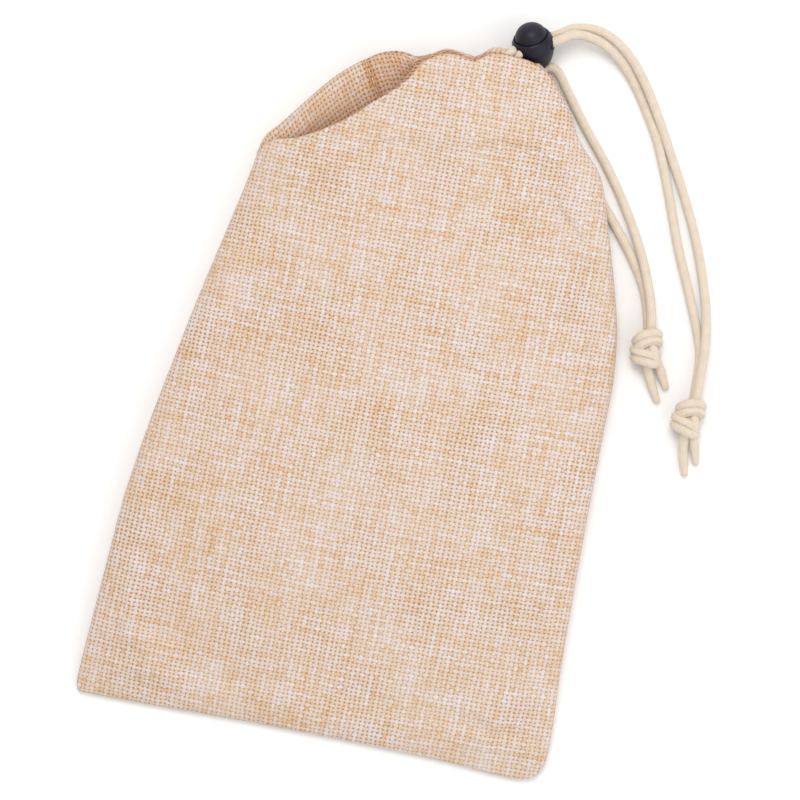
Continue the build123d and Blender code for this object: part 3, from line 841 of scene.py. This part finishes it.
def sheet_row(row, end, rim, late=0.0):
    """A row across a sheet in plan, from the right edge to end.

    It takes the rim's shape as it nears it; late makes its left part do so only close to the rim.
    """
    above = above_shoulder(row)
    flat = RIGHT[row][None, :] * (1 - SHARES[:, None]) + end[None, :] * SHARES[:, None]
    if above <= 0:
        flat[:, 1] -= stations(BOTTOM_BOW, flat[:, 0]) * (1 - smoothstep(0, BOW_ROWS, row))
        return flat
    chord = rim[0] * (1 - SHARES[:, None]) + rim[-1] * SHARES[:, None]
    power = 1.6 + late * smoothstep(0.7, 0.95, SHARES[:, None])
    return flat + (points_at(rim, SHARES) - chord) * above ** power


# Heights in mm along the pouch, as (place, height) pairs: of the side seams, of the top and of the underside.
SIDE_HEIGHT = [(-112, 2.2), (-104, 3.2), (-90, 4.6), (-40, 5.8), (40, 6.2), (66, 7.0), (90, 8.6), (112, 9.6)]
TOP_HEIGHT = [(-112, 5.6), (-104, 7.2), (-92, 9.6), (-70, 12.2), (-30, 14.6), (20, 15.8), (60, 16.6),
              (90, 17.6), (104, 16.4), (112, 14.6)]
UNDER_HEIGHT = [(-112, 0.4), (60, 0.4), (85, 1.0), (98, 3.4), (106, 6.4), (115, 9.4)]
BOTTOM_HEIGHT = 2.2
BOTTOM_ROUNDING = 12.0  # mm over which the front rises from the bottom seam
UNDER_ROUNDING = 6.0  # mm over which the back comes down from it
SIDE_ROUNDING = 8.0  # mm over which the back comes down from the side seams
CROWN_POWER = 2.7  # of the front's superelliptic section
MOUTH_TOP = 114.0  # where the gathers start, along the pouch
MOUTH_MIDDLE = 9.0  # the line that they fan from, across it
RIM_WAVE = 18.2  # length of a wave of the rim
NEAR_RIM = (0.75, 1.0)  # shares of the way up from the shoulder over which the rim's wave takes over
LIFT_SHARE = 0.45  # of that way, over which the free fold rises off the back
FOLD_HEIGHT = 14.6
FOLD_DROP = 1.4  # how much lower the fold is at the rim
TUCK_HEIGHT = 5.6  # of the crease under the fold
TUCK_RIDGE = 3.2  # how high the tucked-in cloth bulges
BACK_PLEATS = 2.2  # how high the back's pleats stand under the mouth
CORD_CLEARANCE = 0.8  # between a cord and the cloth over it


def rounded(share):
    """0 at 0 and 1 from 1 on, starting steeply, like a quarter circle."""
    return np.sqrt(np.clip(1 - (1 - np.clip(share, 0, 1)) ** 2, 0, 1))


def from_bottom(plan):
    """How far each point is from the bottom seam, in mm."""
    start, end = RIGHT[0], FOLD[0]
    slope = (end[1] - start[1]) / (end[0] - start[0])
    seam = start[1] + (plan[:, 0] - start[0]) * slope - stations(BOTTOM_BOW, plan[:, 0])
    return np.clip(plan[:, 1] - seam, 0, None)


def body_swell(x, y):
    """Soft uneven fullness of the front, in mm."""
    wide = 0.55 * np.sin(x * 0.045 + y * 0.017 + 1.0) * np.cos(y * 0.021 - 0.4)
    return wide + 0.35 * np.sin(x * 0.021 - y * 0.052) + 0.18 * np.sin(x * 0.11 + y * 0.06 + 2.0)


def gather_folds(x, y):
    """Folds that fan down from the gathered mouth, in mm: wide ones, narrow ones and one sharp crest."""
    down = np.clip(MOUTH_TOP - y, 0, None)
    fan = (x - MOUTH_MIDDLE) / (15.0 + down * 0.62)
    fade = np.exp(-(down / 34.0) ** 1.4)
    narrow = 1.15 * np.cos(fan * 5.6 + 0.5) + 0.55 * np.cos(fan * 11.5 - 0.9) * np.exp(-down / 22.0)
    crest = 1.5 * np.exp(-((x + 3.5 + down * 0.34) / 2.6) ** 2) * np.exp(-((down - 9) / 13.0) ** 2)
    return narrow * fade + crest


def rim_wave(x):
    return 0.9 * np.cos((x - 0.5) * 2 * math.pi / RIM_WAVE)


def front_point_heights(plan, row, fold_height):
    """Heights of a row of the front, which is closed at both sides up to the shoulder."""
    above = above_shoulder(row)
    x, y = plan[:, 0], plan[:, 1]
    middle, reach = (RIGHT[row, 0] + FOLD[row, 0]) / 2, (RIGHT[row, 0] - FOLD[row, 0]) / 2
    across = np.clip(np.abs(x - middle) / reach, 0, 1)
    side = stations(SIDE_HEIGHT, y)
    crown = (1 - across ** CROWN_POWER) ** (1 / CROWN_POWER)
    relief = body_swell(x, y) + gather_folds(x, y) * smoothstep(0, 0.25, SHARES)
    near_rim = smoothstep(*NEAR_RIM, above)
    relief = relief * (1 - 0.5 * near_rim) + rim_wave(x) * near_rim
    rise = rounded(from_bottom(plan) / BOTTOM_ROUNDING)
    side = BOTTOM_HEIGHT + (side - BOTTOM_HEIGHT) * rise
    closed = side + ((stations(TOP_HEIGHT, y) - side) * crown + relief * crown ** 2) * rise
    if above <= 0:
        return closed
    # above the shoulder the left end is a free fold, so it stays high up to its rounded edge
    to_edge = x - FOLD[row, 0]
    roll = rounded(to_edge / 2.6)
    free = stations(TOP_HEIGHT, y) - 1.2 + relief
    free = fold_height + (free - fold_height) * smoothstep(0, 24, to_edge) - 1.5 * (1 - roll)
    left_half = smoothstep(0.45, 0.85, SHARES)
    lift = smoothstep(0.0, LIFT_SHARE, above)
    return closed * (1 - left_half * lift) + free * left_half * lift


def front_grid():
    """Rows of points of the front, from the right seam round its free fold to the tucked-in cloth's edge."""
    rim = smooth_line(FRONT_RIM, RIM_POINTS)[::-1]
    rows = []
    for row in range(ROWS):
        above = above_shoulder(row)
        lift = float(smoothstep(0.0, LIFT_SHARE, above))
        plan = sheet_row(row, FOLD[row], rim)
        heights = front_point_heights(plan, row, FOLD_HEIGHT - FOLD_DROP * above)
        front = np.column_stack([plan, heights])
        rows.append(np.vstack([front, tucked_points(row, lift, front[-1])]))
    grid = as_seen(np.array(rows))
    grid[STITCH_ROW, COLUMNS + UNDER_COLUMNS:, 2] -= STITCH_GROOVE
    return grid


def tucked_points(row, lift, fold):
    """Under the free fold down to its depth, and from there the tucked-in cloth up to its own edge."""
    edge_height = float(stations(SIDE_HEIGHT, EDGE[row, 1])) + 0.6 * lift
    deep = np.array([*DEPTH[row], fold[2] * (1 - lift) + TUCK_HEIGHT * lift])
    steps = np.linspace(0, 1, UNDER_COLUMNS + 1)[1:, None]
    under = fold * (1 - steps) + deep * steps
    under[:, 2] -= 1.3 * lift * np.sin(steps[:, 0] * math.pi) ** 0.5
    steps = np.linspace(0, 1, RECESS_COLUMNS + 1)[1:]
    edge = np.array([*EDGE[row], edge_height])
    steps = 1 - (1 - steps) ** 1.5
    tucked = deep * (1 - steps[:, None]) + edge * steps[:, None]
    width = np.linalg.norm(EDGE[row] - DEPTH[row])
    from_edge = (1 - steps) * width
    roll = rounded(from_edge / 4.0)
    ridge = TUCK_RIDGE * roll * smoothstep(0.25, 0.9, steps) + 0.5 * np.sin(steps * 7.0 + row * 0.11)
    tucked[:, 2] += ridge * lift * (1 - 0.45 * smoothstep(*NEAR_RIM, above_shoulder(row)))
    return np.vstack([under, tucked])


def hem_rows(last, sheet, upward):
    """Rows that turn the sheet's rim over and carry it back inside as the casing's second layer."""
    forward = last[:, :2] - sheet[-3, :, :2]
    forward /= np.linalg.norm(forward, axis=1)[:, None]
    forward = np.column_stack([forward, np.zeros(len(forward))])
    # the hem gets narrow at both ends of the rim
    fade = 0.12 + 0.88 * smoothstep(0, 0.05, SHARES) * smoothstep(0, 0.16, 1 - SHARES)
    rise = np.outer(fade if upward else -fade, (0.0, 0.0, 1.0))
    forward = forward * fade[:, None]
    rows = []
    for step in range(1, HEM_TURNS + 1):
        angle = math.pi * step / HEM_TURNS
        rows.append(last + forward * HEM_RADIUS * math.sin(angle) + rise * HEM_RADIUS * (1 - math.cos(angle)))
    centre = last[:, 0].mean()
    for outer in sheet[-2::-1]:
        depth = np.linalg.norm(outer[:, :2] - last[:, :2], axis=1).mean()
        if depth > CASING_DEPTH:
            break
        share = depth / CASING_DEPTH
        bulge = math.sin(math.pi * share) ** 0.6
        room = 2 * HEM_RADIUS + (CASING_ROOM - 2 * HEM_RADIUS) * bulge - STITCH_GROOVE * share
        inner = outer + rise * (room * (fade[:, None] ** 2 if upward else 1))
        inner[:, 0] = centre + (inner[:, 0] - centre) * (1 - 0.05 * share)
        rows.append(inner)
    return rows


def back_grid(under_cord):
    """Rows of points of the back, from the right seam to the tucked-in cloth's edge."""
    rim = smooth_line(BACK_RIM, RIM_POINTS)[::-1]
    rows = []
    for row in range(ROWS):
        above = above_shoulder(row)
        plan = sheet_row(row, EDGE[row], rim, late=24.0)
        x, y = plan[:, 0], plan[:, 1]
        span = np.linalg.norm(EDGE[row] - RIGHT[row])
        from_right, from_left = SHARES * span, (1 - SHARES) * span
        side = stations(SIDE_HEIGHT, y) + 0.6 * smoothstep(0.0, LIFT_SHARE, above) * SHARES
        drop = rounded(np.minimum(from_right, from_left) / SIDE_ROUNDING)
        settle = rounded(from_bottom(plan) / UNDER_ROUNDING)
        side = BOTTOM_HEIGHT + (side - BOTTOM_HEIGHT) * rounded(from_bottom(plan) / BOTTOM_ROUNDING)
        low = BOTTOM_HEIGHT + (stations(UNDER_HEIGHT, y) - BOTTOM_HEIGHT) * settle
        fan = (x - MOUTH_MIDDLE) / (16.0 + (MOUTH_TOP - y) * 0.6)
        pleats = (0.5 + 0.5 * np.cos(fan * 10.5)) * BACK_PLEATS
        pleats *= smoothstep(50, 92, y) * (1 - 0.6 * smoothstep(98, 112, y)) * drop
        near_rim = smoothstep(*NEAR_RIM, above)
        low = low + rim_wave(x) * 0.8 * near_rim
        height = side * (1 - drop) + low * drop + pleats
        height = np.maximum(height, cord_room(plan, under_cord) * drop ** 0.5)
        rows.append(np.column_stack([plan, height]))
    return as_seen(np.array(rows))


def cord_room(plan, line):
    """Height that clears a cord which lies under the cloth along line."""
    gaps = np.linalg.norm(plan[:, None, :] - line[None, :, :2], axis=2)
    top = line[gaps.argmin(axis=1), 2] + CORD / 2 + CORD_CLEARANCE
    return top * (1 - smoothstep(1.2, 7.0, gaps.min(axis=1)))


def cord_ways():
    """Where drawcord B's strands lie under the pouch once out of its cloth, at rest and when pulled."""
    lines = [as_seen(resample(nurbs_line(route), UNDER_POINTS)) for route in (STRAND_B1, STRAND_B2)]
    return np.vstack([line[OUT_OF_CLOTH:] + (shift, 0, 0) for line in lines for shift in PULLED])


def sheet_faces(rows, columns, short_rows, short_columns):
    """Quads between neighbouring rows.

    The first short_rows rows go straight from column short_columns - 1 to the last one.
    """
    faces = []
    for row in range(rows - 1):
        kept = list(range(columns))
        if row < short_rows:
            kept = list(range(short_columns)) + [columns - 1]
        for here, beside in zip(kept, kept[1:]):
            start, above = row * columns, (row + 1) * columns
            faces.append((start + here, above + here, above + beside, start + beside))
    return faces


def with_seam_turns(grid, places, upward):
    """Adds a narrow turned-in strip along the side seams and the bottom seam."""
    lift = 1.0 if upward else -1.0
    near = 6  # columns from an edge to the points that its strip turns towards

    def turned(edge, inner, spots, step):
        toward = inner[:, :2] - edge[:, :2]
        toward /= np.maximum(np.linalg.norm(toward, axis=1), 1e-6)[:, None]
        strip = edge.copy()
        strip[:, :2] += toward * SEAM_TURN
        strip[:, 2] -= lift * SEAM_GROOVE
        return strip, spots + (*step, 0)

    inward = np.maximum(np.arange(len(grid)), CORNER_ROWS)  # near a corner the strip turns in diagonally
    right, right_spots = turned(grid[:, 0], grid[inward, near], places[:, 0], (SEAM_TURN, 0))
    left_inner = grid[inward, COLUMNS - 1 - near]
    left_inner[BODY_ROWS + 2:] = grid[BODY_ROWS + 2:, -1 - near]
    left, left_spots = turned(grid[:, -1], left_inner, places[:, -1], (-SEAM_TURN, 0))
    grid = np.concatenate([right[:, None], grid, left[:, None]], axis=1)
    places = np.concatenate([right_spots[:, None], places, left_spots[:, None]], axis=1)
    bottom, bottom_spots = turned(grid[0], grid[4], places[0], (0, -SEAM_TURN))
    return np.concatenate([bottom[None], grid]), np.concatenate([bottom_spots[None], places])


TUCKED_SHIFT = -200  # moves a part's weave along, so that it isn't the neighbouring part's
BACK_SHIFT = 500
# painted shade: the front darkens and warms towards its left side
LEFT_SHADE = 0.10
CASING_SHADE = (1.0, 0.6)  # painted shade of the tucked-in cloth in the hollow under the fold, from the fold to its outer edge, above the stitches
# painted shade of that cloth below the stitches, and darkest in the crease along them
BELOW_SHADE = (0.9, 0.15)
STITCHES_SHADE = (1.3, 1.1)
# painted shade on the hems: a dark line where the front's rim turns under, and on the back's inner layer past
# its turn
FRONT_HEM_SHADE = (0.6, 1.0)
BACK_HEM_SHADE = (0.1,) * HEM_TURNS + (0.3, 0.8)


def front_places(grid):
    """Where each point of the front lies on the flat cloth, in mm, and how much painted shade, darker and
    warmer, it gets.
    """
    places = np.zeros_like(grid)
    for row, points in enumerate(grid):
        sheet = points[:COLUMNS + UNDER_COLUMNS]
        middle = int(np.argmin(np.abs(sheet[:COLUMNS, 0] - 5.0)))
        along = -lengths_along(sheet[:, ::2])
        places[row, :len(sheet), 0] = along + sheet[middle, 0] - along[middle]
        places[row, :len(sheet), 1] = sheet[:, 1] - WEFT_BOW * sheet[:, 0] ** 2
        tucked = points[COLUMNS + UNDER_COLUMNS:]
        places[row, len(sheet):, 0] = lengths_along(tucked[::-1])[::-1] + TUCKED_SHIFT
        # painted shade towards the left side
        places[row, :COLUMNS, 2] = LEFT_SHADE * smoothstep(30, -80, points[:COLUMNS, 0])
    outer = lengths_along(grid[:, -1, :2])
    places[:, COLUMNS + UNDER_COLUMNS:, 1] = outer[:, None] + LEFT_EDGE[0][1]
    # painted shade in the tucked-in cloth under the free fold
    for row in range(BODY_ROWS, ROWS):
        lift = float(smoothstep(0.0, 0.25, above_shoulder(row)))
        painted_shading = CASING_SHADE if row > STITCH_ROW else BELOW_SHADE
        if row == STITCH_ROW:
            painted_shading = STITCHES_SHADE
        places[row, COLUMNS + UNDER_COLUMNS:, 2] = lift * np.linspace(*painted_shading, RECESS_COLUMNS)
    return places


def back_places(grid):
    places = np.zeros_like(grid)
    for row, points in enumerate(grid):
        along = -lengths_along(points[:, ::2])
        places[row, :, 0] = along + points[COLUMNS // 2, 0] - along[COLUMNS // 2] + BACK_SHIFT
        places[row, :, 1] = points[:, 1]
    return places


def set_corner_places(mesh, spots):
    """The attribute cloth, on face corners, so that it stays apart where the mesh's points are merged."""
    corners = mesh.attributes.new("cloth", "FLOAT_VECTOR", "CORNER")
    loop_vertices = np.zeros(len(mesh.loops), np.int32)
    mesh.loops.foreach_get("vertex_index", loop_vertices)
    corners.data.foreach_set("vector", spots[loop_vertices].astype(np.float32).ravel())


def merge_points(mesh):
    """Joins points that coincide and deletes those of no face."""
    edited = bmesh.new()
    edited.from_mesh(mesh)
    bmesh.ops.remove_doubles(edited, verts=edited.verts, dist=0.00003)
    bmesh.ops.delete(edited, geom=[v for v in edited.verts if not v.link_faces], context="VERTS")
    edited.to_mesh(mesh)
    edited.free()


def sheet_object(name, grid, places, hem, material, flip, held):
    """A mesh of the sheet's grid and of the narrower rows of its hem."""
    grid, places = with_seam_turns(grid, places, not flip)
    rows, columns, _ = grid.shape
    faces = sheet_faces(rows, columns, BODY_ROWS, COLUMNS + 1)
    start = (rows - 1) * columns + 1
    base = rows * columns
    vertices, spots = [grid.reshape(-1, 3)], [places.reshape(-1, 3)]
    last_spots = places[-1, 1:COLUMNS + 1]
    hem_shade = BACK_HEM_SHADE if flip else FRONT_HEM_SHADE
    before = grid[-1, 1:COLUMNS + 1]
    for number, row in enumerate(hem):
        step = np.linalg.norm(row - before, axis=1).mean()
        last_spots = last_spots + np.array([0, step, 0])
        # painted shade of the hem's rows
        last_spots[:, 2] = hem_shade[min(number, len(hem_shade) - 1)]
        vertices.append(row)
        spots.append(last_spots)
        for column in range(COLUMNS - 1):
            below = start + column
            above = base + number * COLUMNS + column
            faces.append((below, above, above + 1, below + 1))
        start = base + number * COLUMNS
        before = row
    if flip:
        faces = [face[::-1] for face in faces]
    obj = make_object(name, np.vstack(vertices) * MM, faces, material)
    set_corner_places(obj.data, np.vstack(spots))
    merge_points(obj.data)
    if held is not None:
        settle_cloth(obj, held)
    return obj


SETTLE_FRAMES = 24
SETTLE_LIMIT = 1.6  # the farthest that a point may move, in mm
SETTLE_FADE = 16.0  # mm from a held edge to where the cloth is free
FREEDOM = 0.97  # of the cloth there, where 1 isn't held at all


def settle_cloth(obj, held_lines):
    """A short cloth simulation of the loose middle of a sheet, which is held along held_lines, in mm."""
    mesh = obj.data
    before = np.zeros(len(mesh.vertices) * 3)
    mesh.vertices.foreach_get("co", before)
    before = before.reshape(-1, 3)
    line = np.vstack(held_lines) * MM
    gaps = np.array([np.linalg.norm(line - point, axis=1).min() for point in before]) / MM
    held = 1 - FREEDOM * smoothstep(0.5, SETTLE_FADE, gaps)
    group = obj.vertex_groups.new(name="held")
    for index, weight in enumerate(held):
        group.add([index], float(weight), "REPLACE")
    cloth = obj.modifiers.new("cloth", "CLOTH")
    cloth.settings.quality = 6
    cloth.settings.mass = 0.3
    cloth.settings.tension_stiffness = 25.0
    cloth.settings.compression_stiffness = 25.0
    cloth.settings.bending_stiffness = 0.6
    cloth.settings.shrink_min = -0.035
    cloth.settings.vertex_group_mass = "held"
    cloth.settings.pin_stiffness = 1.0
    cloth.settings.effector_weights.gravity = 0.03
    cloth.point_cache.frame_start = 1
    cloth.point_cache.frame_end = SETTLE_FRAMES
    scene = bpy.context.scene
    for number in range(1, SETTLE_FRAMES + 1):
        scene.frame_set(number)
    graph = bpy.context.evaluated_depsgraph_get()
    result = obj.evaluated_get(graph).data
    after = np.zeros(len(before) * 3)
    result.vertices.foreach_get("co", after)
    after = after.reshape(-1, 3)
    obj.modifiers.remove(cloth)
    obj.vertex_groups.clear()
    scene.frame_set(1)
    move = (after - before) / MM
    size = np.linalg.norm(move, axis=1)
    limited = move * (SETTLE_LIMIT * np.tanh(size / SETTLE_LIMIT) / np.maximum(size, 1e-6))[:, None]
    mesh.vertices.foreach_set("co", (before + limited * MM).ravel())
    mesh.update()


def thicken(obj):
    solid = obj.modifiers.new("thickness", "SOLIDIFY")
    solid.thickness = CLOTH * MM
    solid.offset = -1.0
    smooth = obj.modifiers.new("smooth", "SUBSURF")
    smooth.levels = smooth.render_levels = 1
    apply_modifiers(obj)


def stitch_row():
    """The row of the casing's stitches, as far below the rim as the casing is deep."""
    along = lengths_along(EDGE)
    return int(np.searchsorted(along, along[-1] - CASING_DEPTH))


STITCH_ROW = stitch_row()


def thread_row(name, line, out, material, replaced):
    """Sewn stitches along line, each a thread that dips into the cloth at its ends. out is 1 up, -1 down."""
    count = int(lengths_along(line)[-1] / STITCH_PITCH)
    fine = resample(line, count * STITCH_POINTS + 1)
    lines = []
    for start in range(0, count * STITCH_POINTS, STITCH_POINTS):
        part = fine[start + 1:start + STITCH_POINTS - 1].copy()
        part[:, 2] += out * (STITCH_BULGE * np.sin(np.linspace(0, math.pi, len(part))) - STITCH_DIP)
        lines.append(part)
    obj = make_tube(name, lines, material, THREAD, THREAD)
    place_piece(obj, "pouch", "thread", replaced)


def front_held(front, hem):
    """The front's seams, rim, free fold and everything tucked in behind it, where the cloth cannot move."""
    top = front[BODY_ROWS - 1:, COLUMNS - 1:].reshape(-1, 3)
    return [front[:, 0], front[0], front[:, COLUMNS - 1], front[-1], top, *hem]


def make_pouch(weave, thread, front, back):
    front_hem = hem_rows(front[-1, :COLUMNS], front[:, :COLUMNS], False)
    back_hem = hem_rows(back[-1], back, True)
    front_obj = sheet_object("pouch_front", front, front_places(front), front_hem, weave, False,
                             front_held(front, front_hem))
    back_obj = sheet_object("pouch_back", back, back_places(back), back_hem, weave, True, None)
    for obj, side in ((front_obj, "front"), (back_obj, "back")):
        thicken(obj)
        place_piece(obj, "pouch", "weave", side + "_panel", side + "_casing")
    seen = front[STITCH_ROW, COLUMNS + UNDER_COLUMNS:-1] + (0, 0, STITCH_GROOVE)
    thread_row("front_casing_thread", seen, 1, thread, "front_casing_stitches")
    thread_row("back_casing_thread", back[STITCH_ROW, 6:-6], -1, thread, "back_casing_stitches")


def finish_cad_nodes(weave, thread, steel):
    """Gives the CAD nodes that are kept as they are their materials."""
    for side in ("left", "right", "bottom"):
        assign(side + "_seam_allowance", weave)
        assign(side + "_seam_stitches", thread)
    assign("lock_spring", steel)


def assign(name, material):
    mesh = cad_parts[name].data
    mesh.materials.clear()
    mesh.materials.append(material)


def make_floor(material):
    size = 3.0
    corners = [(-size, -size, 0), (size, -size, 0), (size, size, 0), (-size, size, 0)]
    floor = make_object("floor", corners, [(0, 1, 2, 3)], material, smooth=False)
    floor.location.z = -0.0001


make_camera()
front_sheet, back_sheet = front_grid(), back_grid(cord_ways())
make_cords(cord_material("knitted_cord"), front_sheet, back_sheet)
make_lock(plastic_material("satin_black"))
sewing_thread = thread_material("thread")
make_pouch(weave_material("heathered_weave"), sewing_thread, front_sheet, back_sheet)
inner_weave = weave_material("inner_weave", (0.9, 0.86, 0.82))
finish_cad_nodes(inner_weave, sewing_thread, steel_material("spring_wire"))
make_floor(floor_material("pale_floor"))
make_lights()
